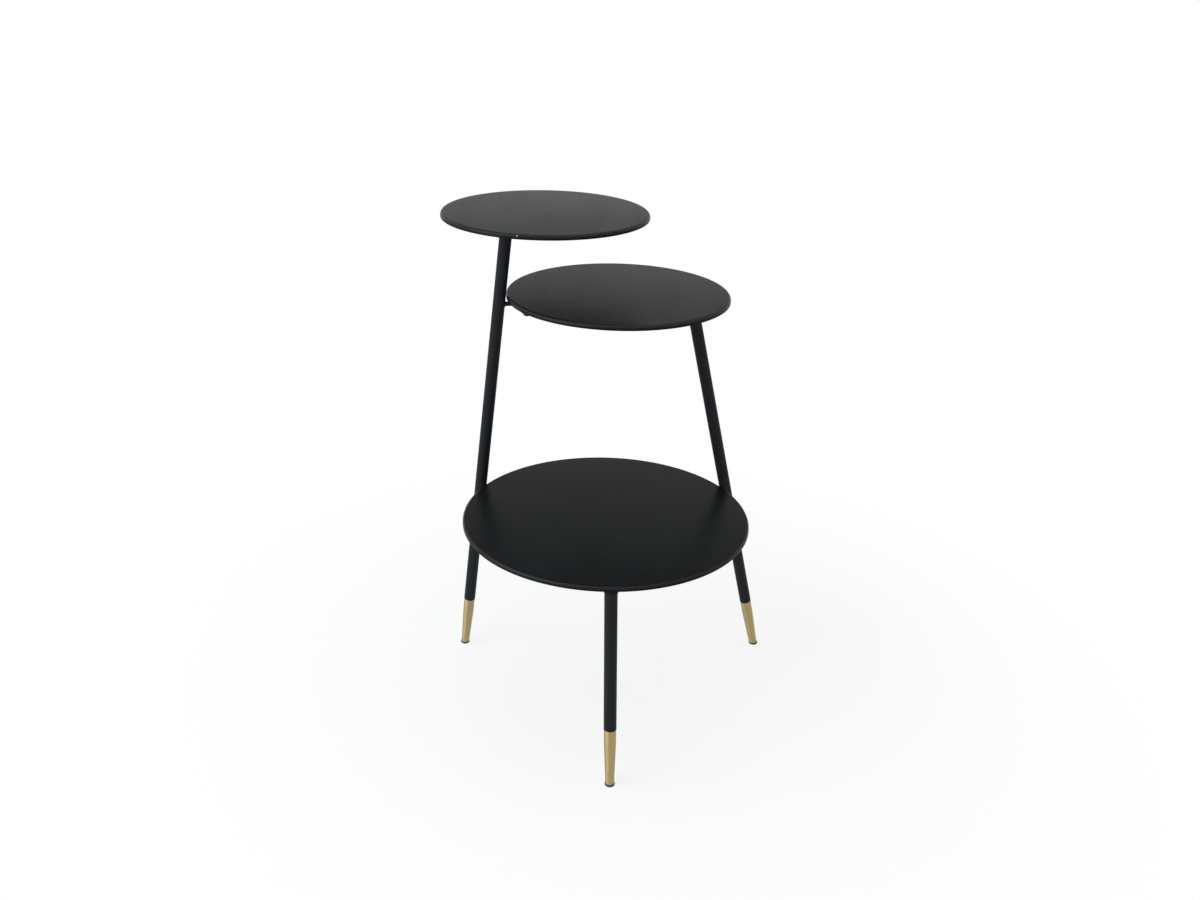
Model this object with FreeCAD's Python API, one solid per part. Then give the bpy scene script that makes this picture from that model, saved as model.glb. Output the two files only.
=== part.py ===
import FreeCAD, Part
import math
import os

# Tiered side table: three round pressed-steel shelves on three splayed tube legs of
# different length. Each leg ends under one shelf and passes outside the rims of the
# shelves below it. Millimetres, +Z up, the floor at Z = 0, the short leg towards -Y.
# The origin is on the floor, under the middle of the table's outline in plan.

V = FreeCAD.Vector
UP = V(0, 0, 1)

# --- Shelves: sheet steel, rim turned down -------------------------------------------
SHEET = 1.5
RIM_DEPTH = 6.5
RIM_BEND = 4.0
BOTTOM_RADIUS = 200.0
MIDDLE_RADIUS = 156.0
TOP_RADIUS = 145.0
BOTTOM_HEIGHT = 290.0
MIDDLE_HEIGHT = 582.0
TOP_HEIGHT = 684.0

# --- Legs: round steel tube ----------------------------------------------------------
TUBE_DIAMETER = 17.0
TUBE_WALL = 1.5
PASSING_GAP = 1.0         # from a leg that passes the bottom shelf to its rim
MIDDLE_PASSING_GAP = 0.5  # from the long leg to the middle shelf's rim

# Directions in plan are degrees from +X. An azimuth is where a leg stands round a shelf,
# a lean is its angle from upright, and a splay is the direction that its foot leans to.
LONG_LEG_AZIMUTH = 150.0
LONG_LEG_LEAN_ANGLE = 6.9
LONG_LEG_SPLAY_ANGLE = 151.0
SHORT_LEG_AZIMUTH = 270.0
SHORT_LEG_LEAN_ANGLE = 5.9
SHORT_LEG_SPLAY_ANGLE = 280.5

# The middle shelf hangs on the long leg, and the top shelf sits on the long leg's end.
MIDDLE_SHELF_ANGLE = 7.5     # direction from the long leg to the shelf's middle
TOP_SHELF_ANGLE = 53.0
TOP_SHELF_INSET = 60.0       # from the top shelf's rim in to the long leg's end

# The medium leg passes the bottom shelf and ends under the middle one.
MEDIUM_LEG_AZIMUTH = 30.0
MEDIUM_LEG_END_AZIMUTH = 348.0
MEDIUM_LEG_END_INSET = 52.0  # from the middle shelf's rim in to the medium leg's end

# --- Brackets and end plates, welded to the legs -------------------------------------
BRACKET_THICKNESS = 3.0
RIM_CLEARANCE = 0.5          # from the rim of the top or bottom shelf down to its plates
MIDDLE_RIM_CLEARANCE = 6.0   # the middle shelf's plates hang lower
ARC_WIDTH = 16.0
ARC_INSET = 12.0             # from the rim's outside in to the bracket's outer edge
ARC_REACH = 36.0             # from the tab to each screw, along the arc
TAB_WIDTH = 12.0
END_PLATE_THICKNESS = 4.0
END_PLATE_CORNER = 10.0
END_SCREW_RADIUS = 22.0
END_SCREW_COUNT = 3
SHORT_PLATE_FIRST_SCREW = 30.0  # from the short leg's axis
SHORT_PLATE_SCREW_PITCH = 24.0

# --- Screws, washers and the threaded bosses under the shelves -----------------------
SCREW_DIAMETER = 6.0
SCREW_HOLE = 6.6
HEAD_DIAMETER = 10.5
HEAD_HEIGHT = 3.3
HEAD_EDGE = 0.8              # the straight edge under the head's dome
CROWN_DIAMETER = 6.5         # the flat on top of the dome
SOCKET_ACROSS_FLATS = 4.0
SOCKET_DEPTH = 2.0
WASHER_DIAMETER = 12.0
WASHER_THICKNESS = 1.6
BOSS_DIAMETER = 12.0
THREAD_CLEARANCE = 0.05
SCREW_END_GAP = 0.5          # from the screw's end to the shelf's underside

# --- Brass ferrules and the glides they stand on -------------------------------------
FERRULE_TOP = 84.0           # distances along the leg from the floor
FERRULE_TAPER_TOP = 62.0
FERRULE_TAPER_FOOT = 10.0
FERRULE_DIAMETER = 16.0
FERRULE_FOOT_DIAMETER = 12.2
FERRULE_CHAMFER = 0.6
SPIGOT_LENGTH = 22.0
SPIGOT_CLEARANCE = 0.05
GLIDE_DIAMETER = 13.4
GLIDE_THICKNESS = 3.0
GLIDE_CHAMFER = 0.8
GLIDE_STEM_DIAMETER = 6.0
GLIDE_STEM_LENGTH = 14.0
GLIDE_STEM_CLEARANCE = 0.05

# --- Worked-out sizes ----------------------------------------------------------------
TUBE_RADIUS = TUBE_DIAMETER / 2
BORE_RADIUS = TUBE_RADIUS - TUBE_WALL
PLATE_DROP = RIM_DEPTH + RIM_CLEARANCE      # from a shelf's top to the plates under it
MIDDLE_PLATE_DROP = RIM_DEPTH + MIDDLE_RIM_CLEARANCE


def polar(radius, degrees, height=0.0):
    angle = math.radians(degrees)
    return V(radius * math.cos(angle), radius * math.sin(angle), height)


def at_height(point, height):
    return V(point.x, point.y, height)


def azimuth_of(vector):
    return math.degrees(math.atan2(vector.y, vector.x))


class Leg:
    """A straight leg: a point that its axis crosses, and the direction of the axis."""

    def __init__(self, crossing, direction):
        self.rise = direction.normalize()
        self.foot = crossing - self.rise * (crossing.z / self.rise.z)

    def at(self, height):
        return self.foot + self.rise * (height / self.rise.z)

    def along(self, distance):
        return self.foot + self.rise * distance


def leaning(lean, splay):
    """The direction of a leg that leans from upright, with its foot splayed outwards."""
    return UP - polar(math.tan(math.radians(lean)), splay)


class Shelf:
    """A shelf's place: the middle of its top face, its radius, and the levels under it."""

    def __init__(self, middle, radius, plate_drop):
        self.middle = middle
        self.radius = radius
        self.underside = middle.z - SHEET
        self.plate_level = middle.z - plate_drop

    def offset(self, radius, degrees, height):
        return at_height(self.middle + polar(radius, degrees), height)


# --- Layout, about the bottom shelf's axis -------------------------------------------
bottom = Shelf(V(0, 0, BOTTOM_HEIGHT), BOTTOM_RADIUS, PLATE_DROP)
rim_level = BOTTOM_HEIGHT - RIM_DEPTH / 2
passing_radius = BOTTOM_RADIUS + PASSING_GAP + TUBE_RADIUS
short_leg_radius = BOTTOM_RADIUS - TUBE_RADIUS

short_leg = Leg(
    polar(short_leg_radius, SHORT_LEG_AZIMUTH, rim_level),
    leaning(SHORT_LEG_LEAN_ANGLE, SHORT_LEG_SPLAY_ANGLE),
)
long_leg = Leg(
    polar(passing_radius, LONG_LEG_AZIMUTH, rim_level),
    leaning(LONG_LEG_LEAN_ANGLE, LONG_LEG_SPLAY_ANGLE),
)

beside_long_leg = MIDDLE_RADIUS + MIDDLE_PASSING_GAP + TUBE_RADIUS
middle_axis = long_leg.at(MIDDLE_HEIGHT) + polar(beside_long_leg, MIDDLE_SHELF_ANGLE)
middle = Shelf(at_height(middle_axis, MIDDLE_HEIGHT), MIDDLE_RADIUS, MIDDLE_PLATE_DROP)

long_leg_end = long_leg.at(TOP_HEIGHT - PLATE_DROP)
top_axis = long_leg_end + polar(TOP_RADIUS - TOP_SHELF_INSET, TOP_SHELF_ANGLE)
top = Shelf(at_height(top_axis, TOP_HEIGHT), TOP_RADIUS, PLATE_DROP)

medium_leg_crossing = polar(passing_radius, MEDIUM_LEG_AZIMUTH, rim_level)
medium_leg_end = middle.offset(
    MIDDLE_RADIUS - MEDIUM_LEG_END_INSET, MEDIUM_LEG_END_AZIMUTH, middle.plate_level,
)
medium_leg = Leg(medium_leg_crossing, medium_leg_end - medium_leg_crossing)


def plan_centre():
    """The middle of the plan's outline, which the shelves and the glides reach out to."""
    circles = [(shelf.middle, shelf.radius) for shelf in (top, middle, bottom)]
    circles += [(leg.foot, GLIDE_DIAMETER / 2) for leg in (long_leg, medium_leg, short_leg)]
    west = min(centre.x - radius for centre, radius in circles)
    east = max(centre.x + radius for centre, radius in circles)
    south = min(centre.y - radius for centre, radius in circles)
    north = max(centre.y + radius for centre, radius in circles)
    return V((west + east) / 2, (south + north) / 2, 0)


def revolved(points_and_arcs, origin, axis):
    """A solid of revolution from a closed profile in the XZ plane, set on an axis."""
    edges = []
    for step in points_and_arcs:
        if len(step) == 3:
            edges.append(Part.Arc(*[V(x, 0, z) for x, z in step]).toShape())
        else:
            edges.append(Part.makeLine(*[V(x, 0, z) for x, z in step]))
    face = Part.Face(Part.Wire(edges))
    solid = face.revolve(V(0, 0, 0), UP, 360)
    solid.Placement = FreeCAD.Placement(origin, FreeCAD.Rotation(UP, axis))
    return solid


def polygon(points):
    """The sides of a closed profile as pairs of points, for revolved()."""
    return list(zip(points, points[1:] + points[:1]))


def vertical_cylinder(centre, diameter, low, high):
    return Part.makeCylinder(diameter / 2, high - low, at_height(centre, low))


def below(solid, height):
    """The part of a solid under a level."""
    box = solid.BoundBox
    margin = TUBE_DIAMETER
    return solid.common(Part.makeBox(
        box.XLength + 2 * margin, box.YLength + 2 * margin, height - box.ZMin + margin,
        V(box.XMin - margin, box.YMin - margin, box.ZMin - margin),
    ))


def above(solid, height):
    """The part of a solid over a level."""
    return solid.cut(below(solid, height))


def shelf_disc(shelf):
    """Pressed disc: flat sheet, and a rim turned down through a bend to a sheared edge."""
    outer = shelf.radius
    inner = outer - SHEET
    bend_start = outer - RIM_BEND
    inner_bend = RIM_BEND - SHEET
    diagonal = math.sqrt(0.5)
    return revolved([
        ((0, 0), (bend_start, 0)),
        ((bend_start, 0),
         (bend_start + RIM_BEND * diagonal, -RIM_BEND + RIM_BEND * diagonal),
         (outer, -RIM_BEND)),
        ((outer, -RIM_BEND), (outer, -RIM_DEPTH)),
        ((outer, -RIM_DEPTH), (inner, -RIM_DEPTH)),
        ((inner, -RIM_DEPTH), (inner, -RIM_BEND)),
        ((inner, -RIM_BEND),
         (bend_start + inner_bend * diagonal, -RIM_BEND + inner_bend * diagonal),
         (bend_start, -SHEET)),
        ((bend_start, -SHEET), (0, -SHEET)),
        ((0, -SHEET), (0, 0)),
    ], shelf.middle, UP)


def rounded_strip(start, end, width, low, high):
    """A flat bar on the line from start to end, with a round end about each."""
    along = at_height(end - start, 0)
    turn = FreeCAD.Placement(at_height(start, low), FreeCAD.Rotation(UP, azimuth_of(along)))
    bar = Part.makeBox(along.Length, width, high - low, V(0, -width / 2, 0))
    bar.Placement = turn
    ends = [vertical_cylinder(point, width, low, high) for point in (start, end)]
    return bar.fuse(ends).removeSplitter()


def arc_band(shelf, azimuth, low, high):
    """The curved strip of a rim bracket, with round ends about its two screws."""
    outer = shelf.radius - ARC_INSET
    centre_radius = outer - ARC_WIDTH / 2
    half_angle = math.degrees(ARC_REACH / centre_radius)
    place = FreeCAD.Placement(at_height(shelf.middle, low), FreeCAD.Rotation(UP, azimuth - half_angle))
    pieces = []
    for radius in (outer, outer - ARC_WIDTH):
        sector = Part.makeCylinder(radius, high - low, V(0, 0, 0), UP, 2 * half_angle)
        sector.Placement = place
        pieces.append(sector)
    band = pieces[0].cut(pieces[1])
    screws = [shelf.offset(centre_radius, azimuth + side * half_angle, low) for side in (-1, 1)]
    ends = [vertical_cylinder(point, ARC_WIDTH, low, high) for point in screws]
    return band.fuse(ends), screws


def drill(plate, points, low, high):
    """A plate with a clearance hole for a screw at each point."""
    holes = [vertical_cylinder(point, SCREW_HOLE, low, high) for point in points]
    return plate.cut(Part.Compound(holes))


def rim_bracket(shelf, leg):
    """Curved strip under the shelf, with a tab that runs out under the rim to the leg.

    Like the other plates, it comes with the places of its screws.
    """
    high = shelf.plate_level
    low = high - BRACKET_THICKNESS
    leg_point = leg.at((low + high) / 2)
    outward = azimuth_of(leg_point - shelf.middle)
    band, screws = arc_band(shelf, outward, low, high)
    tab_start = shelf.offset(shelf.radius - ARC_INSET - ARC_WIDTH / 2, outward, low)
    tab_length = (at_height(leg_point, low) - tab_start).Length
    tab = Part.makeBox(tab_length, TAB_WIDTH, high - low, V(0, -TAB_WIDTH / 2, 0))
    tab.Placement = FreeCAD.Placement(tab_start, FreeCAD.Rotation(UP, outward))
    plate = band.fuse(tab).removeSplitter()
    saddle_start = leg_point - leg.rise * TUBE_DIAMETER
    saddle = Part.makeCylinder(TUBE_RADIUS, 2 * TUBE_DIAMETER, saddle_start, leg.rise)
    return drill(plate, screws, low, high).cut(saddle), screws


def end_plate(shelf, leg):
    """Three-cornered plate on a leg's end, one screw in each corner."""
    high = shelf.plate_level
    low = high - END_PLATE_THICKNESS
    centre = leg.at(low)
    inward = azimuth_of(shelf.middle - centre)
    corners = [
        centre + polar(END_SCREW_RADIUS, inward + index * 360 / END_SCREW_COUNT)
        for index in range(END_SCREW_COUNT)
    ]
    plate = Part.makePolygon([at_height(point, low) for point in corners + corners[:1]])
    plate = Part.Face(plate).extrude(V(0, 0, high - low))
    for start, end in polygon(corners):
        plate = plate.fuse(rounded_strip(start, end, 2 * END_PLATE_CORNER, low, high))
    return drill(plate.removeSplitter(), corners, low, high), corners


def short_plate(shelf, leg):
    """Straight plate on the short leg's end, flush with the tube and running inwards."""
    high = shelf.plate_level
    low = high - BRACKET_THICKNESS
    start = leg.at(low)
    inward = azimuth_of(shelf.middle - start)
    first = start + polar(SHORT_PLATE_FIRST_SCREW, inward)
    screws = [first, first + polar(SHORT_PLATE_SCREW_PITCH, inward)]
    plate = rounded_strip(start, screws[-1], TUBE_DIAMETER, low, high)
    return drill(plate, screws, low, high), screws


def tube(leg, end_level):
    """Leg tube: cut level under its end plate, and square where the ferrule meets it."""
    start = leg.along(FERRULE_TOP)
    length = (end_level - leg.foot.z) / leg.rise.z
    outer = Part.makeCylinder(TUBE_RADIUS, length, start, leg.rise)
    bore = Part.makeCylinder(BORE_RADIUS, length, start, leg.rise)
    return below(outer.cut(bore), end_level)


def ferrule(leg):
    """Turned brass foot: a spigot up the tube, a straight neck, a taper and a level end."""
    radius = FERRULE_DIAMETER / 2
    foot_radius = FERRULE_FOOT_DIAMETER / 2
    spigot_radius = BORE_RADIUS - SPIGOT_CLEARANCE
    spigot_top = FERRULE_TOP + SPIGOT_LENGTH
    body = revolved(polygon([
        (0, -TUBE_RADIUS),
        (foot_radius, -TUBE_RADIUS),
        (foot_radius, FERRULE_TAPER_FOOT),
        (radius, FERRULE_TAPER_TOP),
        (radius, FERRULE_TOP - FERRULE_CHAMFER),
        (radius - FERRULE_CHAMFER, FERRULE_TOP),
        (spigot_radius, FERRULE_TOP),
        (spigot_radius, spigot_top - TUBE_WALL),
        (spigot_radius - TUBE_WALL, spigot_top),
        (0, spigot_top),
    ]), leg.foot, leg.rise)
    stem_bore = Part.makeCylinder(
        GLIDE_STEM_DIAMETER / 2 + GLIDE_STEM_CLEARANCE,
        GLIDE_STEM_LENGTH + GLIDE_THICKNESS + 2 * TUBE_WALL,
        leg.foot, leg.rise,
    )
    return above(body.cut(stem_bore), GLIDE_THICKNESS)


def glide(leg):
    """Plastic glide: a level pad with a bevelled edge, and a stem pressed up the ferrule."""
    radius = GLIDE_DIAMETER / 2
    pad = revolved(polygon([
        (0, 0),
        (radius - GLIDE_CHAMFER, 0),
        (radius, GLIDE_CHAMFER),
        (radius, GLIDE_THICKNESS),
        (0, GLIDE_THICKNESS),
    ]), leg.foot, UP)
    stem = Part.makeCylinder(
        GLIDE_STEM_DIAMETER / 2, GLIDE_STEM_LENGTH + GLIDE_THICKNESS, leg.foot, leg.rise,
    )
    return pad.fuse(above(stem, GLIDE_THICKNESS / 2)).removeSplitter()


def boss(shelf, point):
    """Threaded boss, from the shelf's underside down to the plate that is screwed to it."""
    low = shelf.plate_level
    high = shelf.underside
    bore = vertical_cylinder(point, SCREW_DIAMETER + 2 * THREAD_CLEARANCE, low, high)
    return vertical_cylinder(point, BOSS_DIAMETER, low, high).cut(bore)


def washer(point, plate_bottom):
    """Flat washer under a plate."""
    low = plate_bottom - WASHER_THICKNESS
    hole = vertical_cylinder(point, SCREW_HOLE, low, plate_bottom)
    return vertical_cylinder(point, WASHER_DIAMETER, low, plate_bottom).cut(hole)


def dome_middle(crown, head):
    """The point halfway along a screw head's dome, which is part of a sphere."""
    height = HEAD_HEIGHT - HEAD_EDGE
    centre = (head ** 2 + HEAD_EDGE ** 2 - crown ** 2 - HEAD_HEIGHT ** 2) / (2 * height)
    radius = math.hypot(head, HEAD_EDGE + centre)
    angles = [math.atan2(HEAD_HEIGHT + centre, crown), math.atan2(HEAD_EDGE + centre, head)]
    angle = sum(angles) / 2
    return radius * math.cos(angle), centre - radius * math.sin(angle)


def screw(shelf, point, plate_bottom):
    """Button-head screw with a hexagon socket, driven up into its boss."""
    seat = plate_bottom - WASHER_THICKNESS
    tip = shelf.underside - SCREW_END_GAP - seat
    shank = SCREW_DIAMETER / 2
    head = HEAD_DIAMETER / 2
    crown = CROWN_DIAMETER / 2
    body = revolved([
        ((0, -HEAD_HEIGHT), (crown, -HEAD_HEIGHT)),
        ((crown, -HEAD_HEIGHT), dome_middle(crown, head), (head, -HEAD_EDGE)),
        ((head, -HEAD_EDGE), (head, 0)),
        ((head, 0), (shank, 0)),
        ((shank, 0), (shank, tip)),
        ((shank, tip), (0, tip)),
        ((0, tip), (0, -HEAD_HEIGHT)),
    ], at_height(point, seat), UP)
    corners = [polar(SOCKET_ACROSS_FLATS / math.sqrt(3), index * 60) for index in range(6)]
    socket = Part.Face(Part.makePolygon(corners + corners[:1])).extrude(UP * SOCKET_DEPTH)
    socket.translate(at_height(point, seat - HEAD_HEIGHT))
    return body.cut(socket)


# --- The pieces ----------------------------------------------------------------------
nodes = {
    "top_shelf": shelf_disc(top),
    "middle_shelf": shelf_disc(middle),
    "bottom_shelf": shelf_disc(bottom),
    "long_leg_tube": tube(long_leg, top.plate_level - END_PLATE_THICKNESS),
    "medium_leg_tube": tube(medium_leg, middle.plate_level - END_PLATE_THICKNESS),
    "short_leg_tube": tube(short_leg, bottom.plate_level - BRACKET_THICKNESS),
}

for name, leg in (("long", long_leg), ("medium", medium_leg), ("short", short_leg)):
    nodes[name + "_leg_ferrule"] = ferrule(leg)
    nodes[name + "_leg_glide"] = glide(leg)

# Every plate that is screwed up to a shelf: its node, how it is made, its leg and thickness.
joints = {
    "top": (top, [("long_leg_end_plate", end_plate, long_leg, END_PLATE_THICKNESS)]),
    "middle": (middle, [
        ("medium_leg_end_plate", end_plate, medium_leg, END_PLATE_THICKNESS),
        ("long_leg_middle_bracket", rim_bracket, long_leg, BRACKET_THICKNESS),
    ]),
    "bottom": (bottom, [
        ("short_leg_end_plate", short_plate, short_leg, BRACKET_THICKNESS),
        ("long_leg_bottom_bracket", rim_bracket, long_leg, BRACKET_THICKNESS),
        ("medium_leg_bottom_bracket", rim_bracket, medium_leg, BRACKET_THICKNESS),
    ]),
}

for level, (shelf, plates) in joints.items():
    bosses, washers, screws = [], [], []
    for node, make_plate, leg, thickness in plates:
        nodes[node], points = make_plate(shelf, leg)
        plate_bottom = shelf.plate_level - thickness
        for point in points:
            bosses.append(boss(shelf, point))
            washers.append(washer(point, plate_bottom))
            screws.append(screw(shelf, point, plate_bottom))
    nodes[level + "_shelf_bosses"] = Part.Compound(bosses)
    nodes[level + "_shelf_washers"] = Part.Compound(washers)
    nodes[level + "_shelf_screws"] = Part.Compound(screws)

# --- Export, moved so that the origin is under the middle of the plan ----------------
os.makedirs("parts", exist_ok=True)
shift = plan_centre() * -1
for node, shape in nodes.items():
    shape.translate(shift)
    shape.exportStep("parts/" + node + ".step")
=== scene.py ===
"""Looks of the tiered side table: powder-coated shelves and tube legs, turned brass ferrules,
plastic glides, weld beads and fasteners, with the floor, the lamps and the camera."""

import math

import bmesh
import bpy
from mathutils import Matrix, Vector


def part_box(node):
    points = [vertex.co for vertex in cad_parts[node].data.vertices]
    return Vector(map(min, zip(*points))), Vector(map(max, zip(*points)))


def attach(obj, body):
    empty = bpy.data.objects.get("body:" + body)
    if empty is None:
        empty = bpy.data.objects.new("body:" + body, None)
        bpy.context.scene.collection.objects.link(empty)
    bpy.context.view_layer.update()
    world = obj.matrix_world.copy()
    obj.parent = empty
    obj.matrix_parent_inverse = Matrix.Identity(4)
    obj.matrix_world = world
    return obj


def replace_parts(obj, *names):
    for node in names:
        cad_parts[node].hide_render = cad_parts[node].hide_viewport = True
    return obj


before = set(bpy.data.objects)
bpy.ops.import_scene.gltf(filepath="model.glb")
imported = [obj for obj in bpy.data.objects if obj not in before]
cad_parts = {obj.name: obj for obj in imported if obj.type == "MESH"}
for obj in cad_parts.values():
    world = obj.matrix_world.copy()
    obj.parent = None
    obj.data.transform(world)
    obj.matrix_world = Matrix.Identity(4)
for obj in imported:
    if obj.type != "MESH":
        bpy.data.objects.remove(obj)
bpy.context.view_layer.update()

MM = 0.001
UP = Vector((0, 0, 1))
FULL_TURN = 2 * math.pi

# --- Sizes that the frame doesn't hold, in millimetres ---------------------------------
SHEET = 1.5
RIM_BEND = 4.0
SHEARED_EDGE = 0.35          # rounding of a cut sheet edge under its paint

TUBE_RADIUS = 8.5
TUBE_WALL = 1.5
TUBE_LIP = 0.5               # rounding of a tube's end beside its ferrule

FERRULE_RADIUS = 8.0
FERRULE_FOOT_RADIUS = 6.1
FERRULE_FOOT_EDGE = 0.3
FERRULE_TAPER_TOP = 62.0     # along the leg, from the floor
FERRULE_TAPER_FOOT = 10.0
TAPER_TOP_BLEND = 120.0      # the radius that blends the taper into the neck
TAPER_FOOT_BLEND = 12.0
FERRULE_LIP = 0.6
SPIGOT_RADIUS = 6.95
SPIGOT_LENGTH = 22.0
SPIGOT_EDGE = 1.2

GLIDE_RADIUS = 6.7
GLIDE_THICKNESS = 3.0
GLIDE_SOLE_EDGE = 0.9
GLIDE_TOP_EDGE = 0.5
STEM_RADIUS = 3.0            # the glide's stem, pressed up into the ferrule
STEM_TOP = 17.0
STEM_EDGE = 0.6
STEM_BORE_RADIUS = 3.05
STEM_BORE_TOP = 20.0

END_WELD = 0.99              # thickness of the ground weld round a leg's end
BRACKET_WELD = 1.98
BRACKET_WELD_HALF = 0.85     # how far a bracket's weld runs to each side, in radians
WELD_RIPPLE = 1.9            # from one ripple of a bead to the next
WELD_RIPPLE_DEPTH = 0.14     # as a share of the bead's thickness
WELD_TIP = 0.05              # and what is left of it at a bead's two ends
WELD_INTO_TUBE = 0.1         # how deep a bead is sunk into what it joins
WELD_INTO_PLATE = 0.2

RUB_START = 0.1              # how far under a face its rim begins to be rubbed glossy,
RUB_FULL = 0.8               # is rubbed the most,
RUB_END = 5.6                # and is as it was
CHIP_INSET = 0.8             # from the top rim's outside to the middle of its chipped spot
CHIP_DROP = 2.0              # and from the face
CHIP_BARE = 0.7              # from the spot's middle to where its ragged edge begins
CHIP_END = 1.1               # and ends
CHIP_RAGGED = 1.6
SCUFF_FULL = 0.2             # how far above the floor a glide is scuffed the most,
SCUFF_END = 2.2              # and no more

PAINTED_EDGE = 0.25          # rounding of a plate's edge under its paint
PLATED_EDGE = 0.15
PAINT_FLOW = 0.05            # depths of the surfaces' reliefs
ORANGE_PEEL = 0.025
TURNING_RINGS = 0.02
MOULD_GRAIN = 0.01
OXIDE_GRAIN = 0.008

# --- How finely the meshes are divided -------------------------------------------------
SHELF_SEGMENTS = 384
TUBE_SEGMENTS = 96
ARC_STEPS = 10               # in each rounded corner of an outline
RIPPLE_STEPS = 8             # in each ripple of a weld bead
WELD_ARC_STEPS = 8           # across a weld bead
WELD_ARC = (math.radians(-22.5), math.radians(112.5))  # from in the tube to in the plate
SHARP_ANGLE = math.radians(38)
BEVEL_ANGLE = math.radians(40)
BEVEL_SEGMENTS = 2
JOIN_DISTANCE = 0.002        # points of a CAD piece nearer than this are one, in millimetres


# --- Shader graphs ---------------------------------------------------------------------
class Value:
    """One output in a graph. Arithmetic on it adds Math nodes, and a | b is the larger."""

    def __init__(self, graph, socket):
        self.graph = graph
        self.socket = socket

    def maths(self, operation, *terms):
        return self.graph.add("ShaderNodeMath", {"operation": operation}, dict(enumerate(terms)))

    def __add__(self, other):
        return self.maths("ADD", self, other)

    __radd__ = __add__

    def __mul__(self, other):
        return self.maths("MULTIPLY", self, other)

    __rmul__ = __mul__

    def __sub__(self, other):
        return self.maths("SUBTRACT", self, other)

    def __rsub__(self, other):
        return self.maths("SUBTRACT", other, self)

    def __or__(self, other):
        return self.maths("MAXIMUM", self, other)

    def between(self, low, high):
        """0 below low, 1 above high and a smooth step from one to the other."""
        settings = {"interpolation_type": "SMOOTHSTEP"}
        inputs = {"Value": self, "From Min": low, "From Max": high}
        return self.graph.add("ShaderNodeMapRange", settings, inputs)


class Graph:
    """The nodes of a material or of the world, added one at a time."""

    def __init__(self, tree):
        self.tree = tree
        self.tree.nodes.clear()

    def add(self, kind, settings=None, inputs=None, output=0):
        """Adds a node with its settings, its inputs' values or links, and gives one output."""
        node = self.tree.nodes.new(kind)
        for name, setting in (settings or {}).items():
            setattr(node, name, setting)
        for name, value in (inputs or {}).items():
            if isinstance(value, Value):
                self.tree.links.new(value.socket, node.inputs[name])
            else:
                node.inputs[name].default_value = value
        return Value(self, node.outputs[output]) if node.outputs else None

    def place(self):
        """Where on the piece a point is, in its own metres."""
        return self.add("ShaderNodeTexCoord", output="Object")

    def upward(self, vector):
        """The Z of a place or a direction."""
        return self.add("ShaderNodeSeparateXYZ", inputs={0: vector}, output="Z")

    def noise(self, scale, detail=2.0, roughness=0.5, vector=None):
        """Random clouds from 0 to 1, about as many to a metre as the scale says."""
        inputs = {
            "Vector": vector or self.place(), "Scale": scale,
            "Detail": detail, "Roughness": roughness,
        }
        return self.add("ShaderNodeTexNoise", inputs=inputs)

    def stretched(self, x, y, z):
        """Places scaled apart along X, Y and Z, for streaks."""
        settings = {"operation": "MULTIPLY"}
        return self.add("ShaderNodeVectorMath", settings, {0: self.place(), 1: (x, y, z)})

    def mixed(self, share, first, second):
        """The first colour, turning into the second as the share goes from 0 to 1."""
        inputs = {"Factor": share, 6: first, 7: second}
        return self.add("ShaderNodeMix", {"data_type": "RGBA"}, inputs, output=2)

    def bump(self, height, distance, normal=None):
        """A relief in which a height of 1 stands a distance proud."""
        inputs = {"Height": height, "Distance": distance}
        if normal:
            inputs["Normal"] = normal
        return self.add("ShaderNodeBump", inputs=inputs)

    def surface(self, **inputs):
        """Ends the graph in a Principled shader."""
        named = {key.replace("_", " "): value for key, value in inputs.items()}
        self.finish(self.add("ShaderNodeBsdfPrincipled", inputs=named))

    def finish(self, shader, kind="Material"):
        """Ends the graph in the output of a material or of the world."""
        self.add("ShaderNodeOutput" + kind, inputs={"Surface": shader})


def new_material(name):
    """A new material, and its graph."""
    material = bpy.data.materials.new(name)
    material.use_nodes = True
    return material, Graph(material.node_tree)


def rgb(red, green, blue):
    """A colour, by its linear shares of the light."""
    return (red, green, blue, 1.0)


# --- Materials -------------------------------------------------------------------------
# Painted light and shade: the shelves and the legs wear one powder coat, but the shelves' black is a
# darker copy, as painted shade, and the tubes' black a lighter copy, as painted side light.
FACE_BLACK_PAINTED_SHADE = rgb(0.0052, 0.0060, 0.0066)
TUBE_BLACK_PAINTED_LIGHT = rgb(0.0120, 0.0138, 0.0160)
WORN_BLACK = rgb(0.0110, 0.0120, 0.0130)
# The rubbed black is lighter speckling on a rim's bend: partly wear, and partly a painted highlight
# along the rim.
RUBBED_AND_HIGHLIGHT_BLACK = rgb(0.030, 0.031, 0.033)
DUST = rgb(0.16, 0.16, 0.155)
PRIMER = rgb(0.33, 0.32, 0.37)
FACE_SHEEN = 0.03            # the Specular IOR Level of a shelf's face
TUBE_SHEEN = 0.07            # and of the rest of the coat
FACE_ROUGHNESS = 0.31
TUBE_ROUGHNESS = 0.48
RIM_GLOSS = 0.33             # the Coat Weight that hands have rubbed on a rim's bend

BRASS = rgb(0.375, 0.288, 0.135)
# The bright brass follows both the turning rings and the painted reflection streaks.
BRIGHT_BRASS = rgb(0.415, 0.325, 0.16)
DULL_BRASS = rgb(0.33, 0.245, 0.11)
TARNISH = rgb(0.20, 0.13, 0.05)
BRUSHING = 0.8               # how far the turning rings stretch a highlight
BRUSHING_TURN = 0.25         # a quarter turn, for rings that run round the foot

PLASTIC = rgb(0.020, 0.015, 0.012)
SCUFFED_PLASTIC = rgb(0.10, 0.085, 0.07)
OXIDE = rgb(0.030, 0.029, 0.030)
BARE_STEEL = rgb(0.16, 0.155, 0.15)


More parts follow.
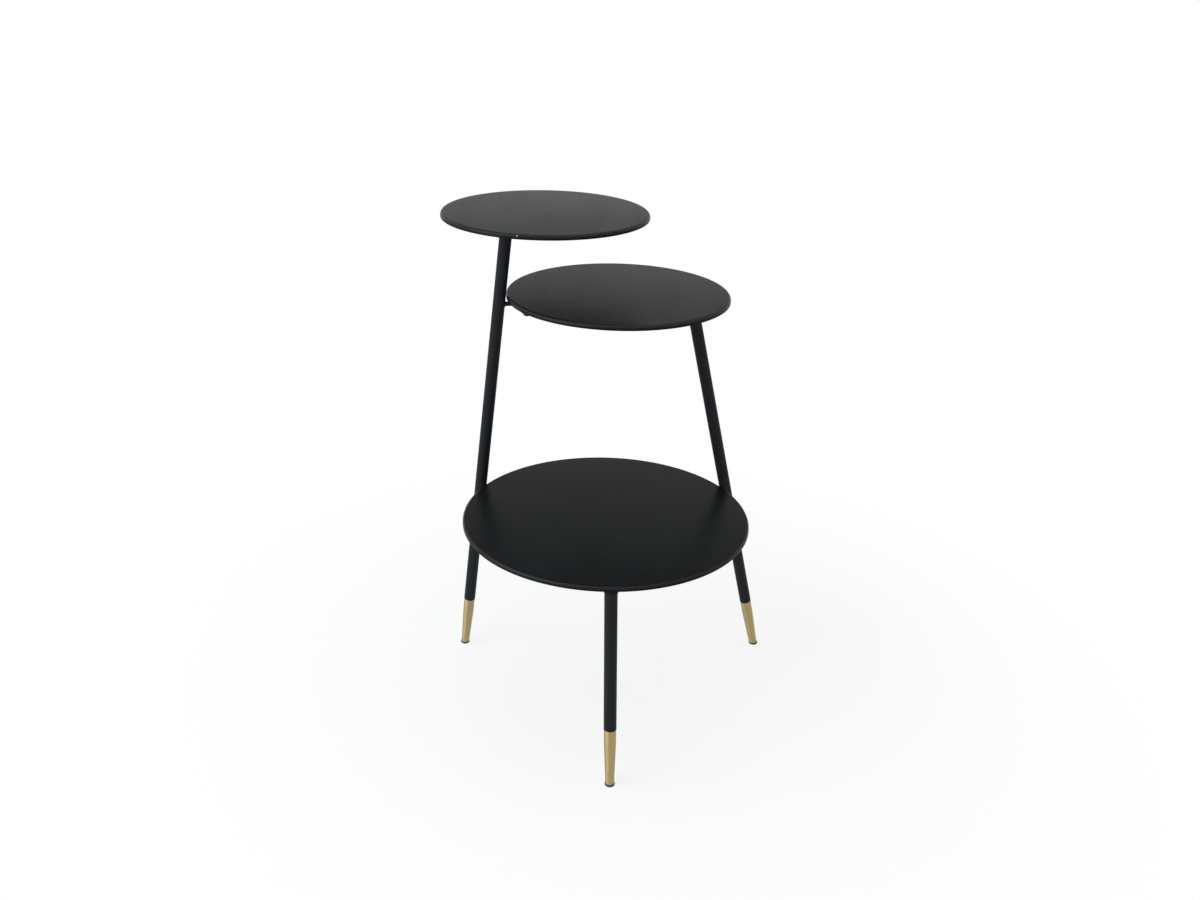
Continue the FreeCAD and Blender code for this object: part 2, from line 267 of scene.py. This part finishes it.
def rim_bend(graph):
    """1 on the outside of a shelf's rim where it bends down, fading out to its lower edge."""
    height = graph.upward(graph.place())
    facing = graph.upward(graph.add("ShaderNodeTexCoord", output="Normal"))
    below_face = 1 - height.between(-RUB_FULL * MM, -RUB_START * MM)
    above_edge = height.between(-RUB_END * MM, -RUB_FULL * MM)
    return below_face * above_edge * facing.between(-0.8, -0.3)


def bare_spot(graph, middle):
    """1 on a ragged spot round its middle, where the paint is off, and 0 elsewhere."""
    inputs = {0: graph.place(), 1: middle}
    settings = {"operation": "DISTANCE"}
    apart = graph.add("ShaderNodeVectorMath", settings, inputs, output="Value")
    ragged = apart + (graph.noise(900) - 0.5) * CHIP_RAGGED * MM
    return 1 - ragged.between(CHIP_BARE * MM, CHIP_END * MM)


def powder_coat(name, black, sheen, matt, rim_gloss=0.0, chip=None):
    """Satin black powder coat: fine orange peel, faint handling marks and a little dust.

    Sheen and matt are how much it mirrors and how rough it is. Rim gloss is what a shelf's
    coat has gained where its rim bends down. A chip is the middle of a spot of bare primer.
    """
    material, graph = new_material(name)
    peel = graph.noise(1100, detail=3, roughness=0.6)
    flow = graph.noise(280)
    clouds = graph.noise(9, detail=4, roughness=0.6)
    wiped = graph.noise(1.0, detail=3, vector=graph.stretched(22, 6, 14)).between(0.42, 0.68)
    dust = graph.noise(3200, detail=1).between(0.715, 0.76) * clouds.between(0.45, 0.7)
    colour = graph.mixed(clouds.between(0.3, 0.8) * 0.4, black, WORN_BLACK)
    colour = graph.mixed(dust * 0.35, colour, DUST)
    roughness = matt + 0.03 * clouds + 0.02 * wiped + 0.2 * dust
    relief = graph.bump(flow, PAINT_FLOW * MM, normal=graph.bump(peel, ORANGE_PEEL * MM))
    gloss = 0.0
    if chip:
        bare = bare_spot(graph, chip)
        colour = graph.mixed(bare, colour, PRIMER)
        roughness = roughness + 0.25 * bare
    if rim_gloss:
        bend = rim_bend(graph)
        # Painted highlight: lighter rubbed speckles on the rim's bend, partly wear and partly a
        # painted highlight where the rim catches the light.
        rubs_and_highlight = graph.noise(650, detail=4, roughness=0.65).between(0.56, 0.72)
        colour = graph.mixed(bend * rubs_and_highlight * 0.5, colour, RUBBED_AND_HIGHLIGHT_BLACK)
        gloss = bend * rim_gloss
    graph.surface(
        Base_Color=colour, Roughness=roughness, Specular_IOR_Level=sheen, Normal=relief,
        Coat_Weight=gloss, Coat_Roughness=TUBE_ROUGHNESS,
    )
    return material


def tube_coat():
    """The coat of the legs and of all the parts that are welded, in a lighter black that paints in
    the light falling on them from the side.
    """
    return powder_coat("powder_coat", TUBE_BLACK_PAINTED_LIGHT, TUBE_SHEEN, TUBE_ROUGHNESS)


def shelf_coat(name, chip=None):
    """A shelf's coat, in a darker black that paints in shade on the faces, smoother on the face and
    rubbed glossy where the rim bends.
    """
    return powder_coat(name, FACE_BLACK_PAINTED_SHADE, FACE_SHEEN, FACE_ROUGHNESS, RIM_GLOSS, chip)


def turned_brass():
    """Satin brass off the lathe: fine turning rings, painted reflection streaks down its length and
    a little tarnish.
    """
    material, graph = new_material("turned_brass")
    rings = graph.noise(1.0, detail=3, roughness=0.7, vector=graph.stretched(40, 40, 2600))
    # Painted reflection: light and dark streaks running down the ferrule, standing in for the room
    # reflected in the brass.
    streaks = graph.noise(1.0, vector=graph.stretched(900, 900, 16))
    clouds = graph.noise(70, detail=3, roughness=0.6)
    tarnish = graph.noise(900, detail=3).between(0.62, 0.74)
    rings_and_reflections = 0.5 * rings + 0.5 * streaks
    brass = graph.mixed(rings_and_reflections.between(0.35, 0.65), BRASS, BRIGHT_BRASS)
    brass = graph.mixed(clouds.between(0.45, 0.8) * 0.4, brass, DULL_BRASS)
    brass = graph.mixed(tarnish * 0.45, brass, TARNISH)
    roughness = 0.36 + 0.10 * rings + 0.08 * clouds + 0.15 * tarnish
    graph.surface(
        Base_Color=brass, Metallic=1.0, Roughness=roughness,
        Normal=graph.bump(rings, TURNING_RINGS * MM),
        Anisotropic=BRUSHING, Anisotropic_Rotation=BRUSHING_TURN,
    )
    return material


def glide_plastic():
    """Moulded black-brown plastic, scuffed and dusty where it meets the floor."""
    material, graph = new_material("glide_plastic")
    grain = graph.noise(2600)
    height = graph.upward(graph.place())
    near_floor = 1 - height.between(SCUFF_FULL * MM, SCUFF_END * MM)
    scuffs = near_floor * graph.noise(700, detail=3).between(0.4, 0.65)
    colour = graph.mixed(scuffs * 0.6, PLASTIC, SCUFFED_PLASTIC)
    graph.surface(
        Base_Color=colour, Roughness=0.5 + 0.25 * scuffs,
        Normal=graph.bump(grain, MOULD_GRAIN * MM),
    )
    return material


def black_oxide():
    """Oil-blackened steel screws and washers: brown-black, with bright rubbed spots."""
    material, graph = new_material("black_oxide")
    grain = graph.noise(2400, detail=3)
    rubbed = graph.noise(500, detail=3, roughness=0.65).between(0.60, 0.75)
    colour = graph.mixed(rubbed * 0.6, OXIDE, BARE_STEEL)
    graph.surface(
        Base_Color=colour, Metallic=0.8, Roughness=0.38 + 0.12 * grain - 0.08 * rubbed,
        Normal=graph.bump(grain, OXIDE_GRAIN * MM),
    )
    return material


# --- Building meshes -------------------------------------------------------------------
def corner_arc(corner, before, after, radius):
    """The points of the arc that rounds off a corner, from its two sides' directions."""
    half = before.angle(after) / 2
    middle = (before.normalized() + after.normalized()).normalized()
    centre = corner + middle * radius / math.sin(half)
    first = corner + before.normalized() * radius / math.tan(half) - centre
    last = corner + after.normalized() * radius / math.tan(half) - centre
    start = math.atan2(first.y, first.x)
    sweep = math.remainder(math.atan2(last.y, last.x) - start, FULL_TURN)
    angles = [start + sweep * step / ARC_STEPS for step in range(ARC_STEPS + 1)]
    return [centre + radius * Vector((math.cos(angle), math.sin(angle))) for angle in angles]


def rounded(corners):
    """A closed outline from corners (x, y, radius), each rounded off by an arc."""
    outline = []
    for index, (x, y, radius) in enumerate(corners):
        corner = Vector((x, y))
        before = Vector(corners[index - 1][:2]) - corner
        after = Vector(corners[(index + 1) % len(corners)][:2]) - corner
        outline += corner_arc(corner, before, after, radius) if radius else [corner]
    return outline


def bridge(mesh, first, second):
    """Faces from one closed loop of points to the next. A loop may be a single point."""
    if len(first) == len(second) == 1:
        return
    for index in range(max(len(first), len(second))):
        following = index + 1
        corners = [
            first[index % len(first)], first[following % len(first)],
            second[following % len(second)], second[index % len(second)],
        ]
        mesh.faces.new(list(dict.fromkeys(corners)))


def turned(outline, segments):
    """A solid turned about Z from an outline of (radius, height) in millimetres."""
    mesh = bmesh.new()
    rings = []
    for radius, height in outline:
        count = segments if radius > 0 else 1
        angles = [FULL_TURN * index / segments for index in range(count)]
        rings.append([
            mesh.verts.new((radius * math.cos(a) * MM, radius * math.sin(a) * MM, height * MM))
            for a in angles
        ])
    for first, second in zip(rings, rings[1:] + rings[:1]):
        bridge(mesh, first, second)
    return mesh


def piece_from(name, mesh, material):
    """A finished piece: smooth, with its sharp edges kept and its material."""
    data = bpy.data.meshes.new(name)
    bmesh.ops.recalc_face_normals(mesh, faces=mesh.faces)
    mesh.to_mesh(data)
    mesh.free()
    data.polygons.foreach_set("use_smooth", [True] * len(data.polygons))
    data.set_sharp_from_angle(angle=SHARP_ANGLE)
    data.materials.append(material)
    piece = bpy.data.objects.new(name, data)
    bpy.context.scene.collection.objects.link(piece)
    return piece


# --- Where the frame has things --------------------------------------------------------
def box_middle(points):
    """The middle of the box round some points."""
    low, high = ([pick(point[axis] for point in points) for axis in range(3)] for pick in (min, max))
    return (Vector(low) + Vector(high)) / 2


class LegLine:
    """A leg's axis, found from the two ends of its tube. Lengths along it are millimetres."""

    def __init__(self, name):
        self.name = name
        points = [vertex.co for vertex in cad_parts[name + "_leg_tube"].data.vertices]
        halfway = box_middle(points).z
        low = box_middle([point for point in points if point.z < halfway])
        high = box_middle([point for point in points if point.z >= halfway])
        self.direction = (high - low).normalized()
        self.foot = low - self.direction * (low.z / self.direction.z)
        self.ferrule_top = (low - self.foot).length / MM
        self.end = (high - self.foot).length / MM
        self.turn = UP.rotation_difference(self.direction)

    def along(self, height):
        """How far along the leg a height above the floor is."""
        return height / self.direction.z / MM

    def facing(self, target):
        """The direction round the leg's own axis in which a point of the frame lies."""
        local = self.turn.inverted() @ (target - self.foot)
        return math.atan2(local.y, local.x)

    def level_off(self, mesh, height, reach=1.0):
        """Shears what lies near a height along the leg, to make it level in the frame."""
        lean = self.turn.inverted() @ UP
        for vertex in mesh.verts:
            if (height - reach) * MM <= vertex.co.z <= (height + reach) * MM:
                vertex.co.z -= (lean.x * vertex.co.x + lean.y * vertex.co.y) / lean.z

    def stand(self, piece):
        """Puts a piece that was turned about Z on the leg's axis, its origin at the foot."""
        piece.matrix_world = Matrix.Translation(self.foot) @ self.turn.to_matrix().to_4x4()
        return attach(piece, "root")


class ShelfPlace:
    """The middle of a shelf's top face, and its radius and depth in millimetres."""

    def __init__(self, name):
        low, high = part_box(name)
        self.name = name
        self.middle = Vector(((low.x + high.x) / 2, (low.y + high.y) / 2, high.z))
        self.radius = (high.x - low.x) / 2 / MM
        self.depth = (high.z - low.z) / MM


# --- Pieces ----------------------------------------------------------------------------
def shelf(place, material):
    """A pressed disc with its rim turned down and its sheared edge softened by paint."""
    inner = place.radius - SHEET
    outline = rounded([
        (0, 0, 0),
        (place.radius, 0, RIM_BEND),
        (place.radius, -place.depth, SHEARED_EDGE),
        (inner, -place.depth, SHEARED_EDGE),
        (inner, -SHEET, RIM_BEND - SHEET),
        (0, -SHEET, 0),
    ])
    mesh = turned(outline, SHELF_SEGMENTS)
    piece = piece_from(place.name + "_pressing", mesh, material)
    piece.location = place.middle
    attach(piece, "root")
    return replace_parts(piece, place.name)


def tube(leg, material):
    """A leg's tube: softened at the ferrule, cut level under its end plate."""
    bore = TUBE_RADIUS - TUBE_WALL
    outline = rounded([
        (TUBE_RADIUS, leg.ferrule_top, TUBE_LIP),
        (TUBE_RADIUS, leg.end, 0),
        (bore, leg.end, 0),
        (bore, leg.ferrule_top, 0),
    ])
    mesh = turned(outline, TUBE_SEGMENTS)
    leg.level_off(mesh, leg.end)
    piece = piece_from(leg.name + "_leg_pipe", mesh, material)
    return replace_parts(leg.stand(piece), leg.name + "_leg_tube")


def ferrule(leg, material):
    """Turned foot: a spigot, a straight neck, a long taper and a level end with a bore."""
    bottom = leg.along(GLIDE_THICKNESS * MM)
    spigot_top = leg.ferrule_top + SPIGOT_LENGTH
    outline = rounded([
        (STEM_BORE_RADIUS, bottom, 0),
        (FERRULE_FOOT_RADIUS, bottom, FERRULE_FOOT_EDGE),
        (FERRULE_FOOT_RADIUS, FERRULE_TAPER_FOOT, TAPER_FOOT_BLEND),
        (FERRULE_RADIUS, FERRULE_TAPER_TOP, TAPER_TOP_BLEND),
        (FERRULE_RADIUS, leg.ferrule_top, FERRULE_LIP),
        (SPIGOT_RADIUS, leg.ferrule_top, 0),
        (SPIGOT_RADIUS, spigot_top, SPIGOT_EDGE),
        (0, spigot_top, 0),
        (0, STEM_BORE_TOP, 0),
        (STEM_BORE_RADIUS, STEM_BORE_TOP, 0),
    ])
    mesh = turned(outline, TUBE_SEGMENTS)
    leg.level_off(mesh, bottom)
    piece = piece_from(leg.name + "_leg_foot", mesh, material)
    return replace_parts(leg.stand(piece), leg.name + "_leg_ferrule")


def lean_stem(mesh, leg):
    """Leans a glide's stem over, from upright to along its leg."""
    for vertex in mesh.verts:
        in_stem = vertex.co.xy.length < (STEM_RADIUS + GLIDE_RADIUS) / 2 * MM
        if in_stem and vertex.co.z > GLIDE_THICKNESS / 2 * MM:
            vertex.co.xy += leg.direction.xy * (vertex.co.z / leg.direction.z)


def glide(leg, material):
    """Moulded pad under a ferrule, with a rounded sole, and its stem up the ferrule's bore."""
    outline = rounded([
        (0, 0, 0),
        (GLIDE_RADIUS, 0, GLIDE_SOLE_EDGE),
        (GLIDE_RADIUS, GLIDE_THICKNESS, GLIDE_TOP_EDGE),
        (STEM_RADIUS, GLIDE_THICKNESS, 0),
        (STEM_RADIUS, STEM_TOP, STEM_EDGE),
        (0, STEM_TOP, 0),
    ])
    mesh = turned(outline, TUBE_SEGMENTS)
    lean_stem(mesh, leg)
    piece = piece_from(leg.name + "_leg_pad", mesh, material)
    piece.location = leg.foot
    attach(piece, "root")
    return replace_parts(piece, leg.name + "_leg_glide")


def bead_thickness(step, steps, ring):
    """A bead's share of its full thickness: it ripples, and a bead with ends thins out there."""
    ripple = 1 - WELD_RIPPLE_DEPTH * (1 - abs(math.sin(math.pi * step / RIPPLE_STEPS)))
    if ring:
        return ripple
    from_middle = 2 * step / steps - 1
    return ripple * max(WELD_TIP, math.sqrt(1 - from_middle ** 8))


def bead_section(mesh, angle, level, side, thickness):
    """The outline across a bead, at an angle round its leg."""
    first, last = WELD_ARC
    section = []
    for step in range(WELD_ARC_STEPS + 1):
        swing = first + (last - first) * step / WELD_ARC_STEPS
        out = TUBE_RADIUS - WELD_INTO_TUBE + thickness * math.sin(swing)
        up = level + side * (thickness * math.cos(swing) - WELD_INTO_PLATE)
        point = (out * math.cos(angle) * MM, out * math.sin(angle) * MM, up * MM)
        section.append(mesh.verts.new(point))
    return section


def weld_bead(name, leg, material, height, side, thickness, facing=0.0, half_angle=math.pi):
    """A rippled fillet round a leg, on a plate's face at a height above the floor.

    It lies above the face where side is 1, and under it where side is -1. It runs
    half_angle to each side of facing, in radians, and is a whole ring at half a turn.
    """
    ring = half_angle >= math.pi
    steps = RIPPLE_STEPS * round(2 * half_angle * TUBE_RADIUS / WELD_RIPPLE)
    level = leg.along(height)
    mesh = bmesh.new()
    sections = []
    for step in range(steps if ring else steps + 1):
        angle = facing + (2 * step / steps - 1) * half_angle
        here = thickness * bead_thickness(step, steps, ring)
        sections.append(bead_section(mesh, angle, level, side, here))
    for first, second in zip(sections, sections[1:]):
        bridge(mesh, first, second)
    if ring:
        bridge(mesh, sections[-1], sections[0])
    else:
        mesh.faces.new(sections[0])
        mesh.faces.new(sections[-1])
    leg.level_off(mesh, level, reach=2 * TUBE_RADIUS)
    return leg.stand(piece_from(name, mesh, material))


def dress(name, material, bevel):
    """Gives a CAD piece its finish, and softens its edges as paint or plating does."""
    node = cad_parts[name]
    node.data.materials.clear()
    node.data.materials.append(material)
    join = node.modifiers.new("join", "WELD")
    join.merge_threshold = JOIN_DISTANCE * MM
    soften = node.modifiers.new("soften", "BEVEL")
    soften.width = bevel * MM
    soften.segments = BEVEL_SEGMENTS
    soften.limit_method = "ANGLE"
    soften.angle_limit = BEVEL_ANGLE
    soften.harden_normals = True


# --- The table -------------------------------------------------------------------------
LEVELS = ("top", "middle", "bottom")
LEG_NAMES = ("long", "medium", "short")
BRACKETS = (("long", "middle"), ("long", "bottom"), ("medium", "bottom"))  # leg and shelf
CHIP_ANGLE = math.radians(256)  # where the chipped spot is, round the top shelf

legs = {name: LegLine(name) for name in LEG_NAMES}
shelves = {level: ShelfPlace(level + "_shelf") for level in LEVELS}
coat = tube_coat()
face_coat = shelf_coat("shelf_coat")
brass = turned_brass()
plastic = glide_plastic()
oxide = black_oxide()

chip_radius = (shelves["top"].radius - CHIP_INSET) * MM
chip = Vector((math.cos(CHIP_ANGLE), math.sin(CHIP_ANGLE), 0)) * chip_radius
chip.z = -CHIP_DROP * MM
shelf(shelves["top"], shelf_coat("top_shelf_coat", chip))
shelf(shelves["middle"], face_coat)
shelf(shelves["bottom"], face_coat)

for leg in legs.values():
    tube(leg, coat)
    ferrule(leg, brass)
    glide(leg, plastic)

for name, leg in legs.items():
    plate = name + "_leg_end_plate"
    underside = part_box(plate)[0].z
    weld_bead(name + "_leg_end_weld", leg, coat, underside, -1, END_WELD)
    dress(plate, coat, PAINTED_EDGE)

for name, level in BRACKETS:
    leg = legs[name]
    bracket = name + "_leg_" + level + "_bracket"
    towards = leg.facing(shelves[level].middle)
    underside, upside = (corner.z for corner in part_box(bracket))
    for which, height, side in (("lower", underside, -1), ("upper", upside, 1)):
        bead = bracket + "_" + which + "_weld"
        weld_bead(bead, leg, coat, height, side, BRACKET_WELD, towards, BRACKET_WELD_HALF)
    dress(bracket, coat, PAINTED_EDGE)

for level in LEVELS:
    dress(level + "_shelf_bosses", coat, PAINTED_EDGE)
    dress(level + "_shelf_washers", oxide, PLATED_EDGE)
    dress(level + "_shelf_screws", oxide, PLATED_EDGE)


# --- Floor, background, lamps and camera -----------------------------------------------
FLOOR_RADIUS = 8.0           # metres
FLOOR_SEGMENTS = 128
FLOOR_GREYS = (rgb(0.93, 0.93, 0.93), rgb(0.95, 0.95, 0.95))
FLOOR_GLOW = 0.80            # how far the floor near the table is background white
WHITER_FROM = 0.3            # metres from the middle, where it begins to turn all white
WHITE_FROM = 0.9
SURROUND = 0.45              # the background's light on matt surfaces; it is 1 where it shows

CAMERA_OFFSET = Vector((-0.07136, -1.47226, 0.74939))  # from the bottom shelf's middle
CAMERA_PITCH = 0.4154        # radians, downwards
CAMERA_YAW = 0.0411          # to the right
CAMERA_ROLL = -0.0278
CAMERA_LENS = 35.265         # millimetres, as is the sensor's width
CAMERA_SENSOR = 36.0


def floor_white():
    """A pale studio floor that turns into the white of the background further out."""
    material, graph = new_material("floor_white")
    inputs = {0: graph.place()}
    reach = graph.add("ShaderNodeVectorMath", {"operation": "LENGTH"}, inputs, output="Value")
    tint = graph.mixed(graph.noise(3, detail=3), *FLOOR_GREYS)
    paint = graph.add("ShaderNodeBsdfDiffuse", inputs={"Color": tint})
    glow = graph.add("ShaderNodeEmission", inputs={"Strength": 1.0})
    share = FLOOR_GLOW + (1 - FLOOR_GLOW) * reach.between(WHITER_FROM, WHITE_FROM)
    graph.finish(graph.add("ShaderNodeMixShader", inputs={0: share, 1: paint, 2: glow}))
    return material


def studio_floor():
    """A wide round floor, which takes the table's shadow and isn't a part of it."""
    mesh = bmesh.new()
    bmesh.ops.create_circle(mesh, cap_ends=True, segments=FLOOR_SEGMENTS, radius=FLOOR_RADIUS)
    data = bpy.data.meshes.new("floor")
    mesh.to_mesh(data)
    mesh.free()
    data.materials.append(floor_white())
    floor = bpy.data.objects.new("floor", data)
    bpy.context.scene.collection.objects.link(floor)


def background():
    """White behind the table and in its reflections, and a softer light on matt surfaces."""
    world = bpy.data.worlds.new("studio")
    world.use_nodes = True
    bpy.context.scene.world = world
    graph = Graph(world.node_tree)
    rays = "ShaderNodeLightPath"
    seen = graph.add(rays, output="Is Camera Ray")
    mirrored = graph.add(rays, output="Is Glossy Ray")
    through = graph.add(rays, output="Is Transmission Ray")
    strength = SURROUND + (1 - SURROUND) * (seen | mirrored | through)
    inputs = {"Color": rgb(1, 1, 1), "Strength": strength}
    graph.finish(graph.add("ShaderNodeBackground", inputs=inputs), "World")


def softbox(name, place, aim, size, power, colour=(1, 1, 1)):
    """A square lamp that faces a point. Its size is in metres and its power in watts."""
    light = bpy.data.lights.new(name, "AREA")
    light.shape = "SQUARE"
    light.size = size
    light.energy = power
    light.color = colour
    lamp = bpy.data.objects.new(name, light)
    lamp.location = place
    lamp.rotation_euler = (Vector(aim) - Vector(place)).to_track_quat("-Z", "Y").to_euler()
    bpy.context.scene.collection.objects.link(lamp)


def camera():
    """A camera a little above the top shelf, looking down on the table."""
    data = bpy.data.cameras.new("camera")
    data.sensor_width = CAMERA_SENSOR
    data.lens = CAMERA_LENS
    view = bpy.data.objects.new("camera", data)
    place = Matrix.Translation(shelves["bottom"].middle + CAMERA_OFFSET)
    yaw = Matrix.Rotation(-CAMERA_YAW, 4, "Z")
    pitch = Matrix.Rotation(math.pi / 2 - CAMERA_PITCH, 4, "X")
    roll = Matrix.Rotation(-CAMERA_ROLL, 4, "Z")
    view.matrix_world = place @ yaw @ pitch @ roll
    bpy.context.scene.collection.objects.link(view)
    bpy.context.scene.camera = view


studio_floor()
background()
softbox("key", (-2.7, -1.4, 1.5), (0, 0, 0.35), size=3.0, power=105, colour=(0.84, 0.93, 1.0))
softbox("overhead", (0.2, 0.3, 3.2), (0, 0, 0), size=3.0, power=25)
softbox("fill", (2.2, -1.6, 1.4), (0, 0, 0.3), size=2.0, power=3, colour=(1.0, 0.94, 0.88))
camera()
bpy.context.scene.view_settings.view_transform = "Standard"
